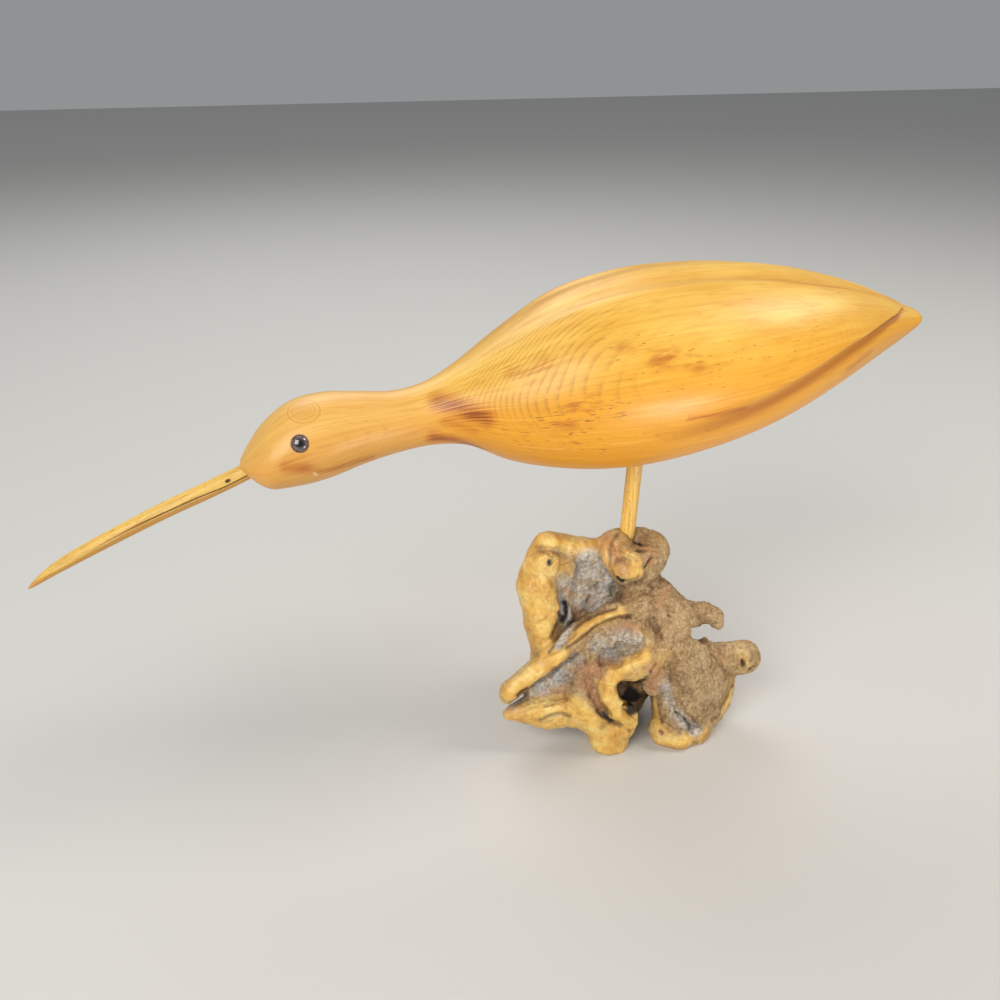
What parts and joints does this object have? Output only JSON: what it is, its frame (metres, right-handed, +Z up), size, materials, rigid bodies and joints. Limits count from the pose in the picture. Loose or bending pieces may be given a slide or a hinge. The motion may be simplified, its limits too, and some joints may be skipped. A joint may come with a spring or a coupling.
{
  "type": "shorebird decoy on a root stand",
  "caption": "Carved wooden shorebird with a long whittled bill and glass eyes, held level on a dowel leg above a hollowed root burl stand.",
  "frame": {"origin": "on the standing surface, on the flat under the heart of the root, below the foot of the leg", "axes": "+Z up, +X from the bill towards the tail, +Y towards the bird's right side; the bird's plane of symmetry is y = 0"},
  "size_m": [0.3512, 0.083, 0.1999],
  "materials": {
    "body_wood": "satin clear lacquer over golden cypress",
    "bill_wood": "thin satin lacquer",
    "eye_glass": "glossy dark glass",
    "leg_wood": "bare, lightly toned",
    "root_wood": "weathered, with worn polished lobes"
  },
  "bodies": {
    "root": {"bird_body": "body_wood", "bill": "bill_wood", "eye_left": "eye_glass", "eye_right": "eye_glass", "leg_dowel": "leg_wood", "root_burl": "root_wood"}
  },
  "joints": []
}
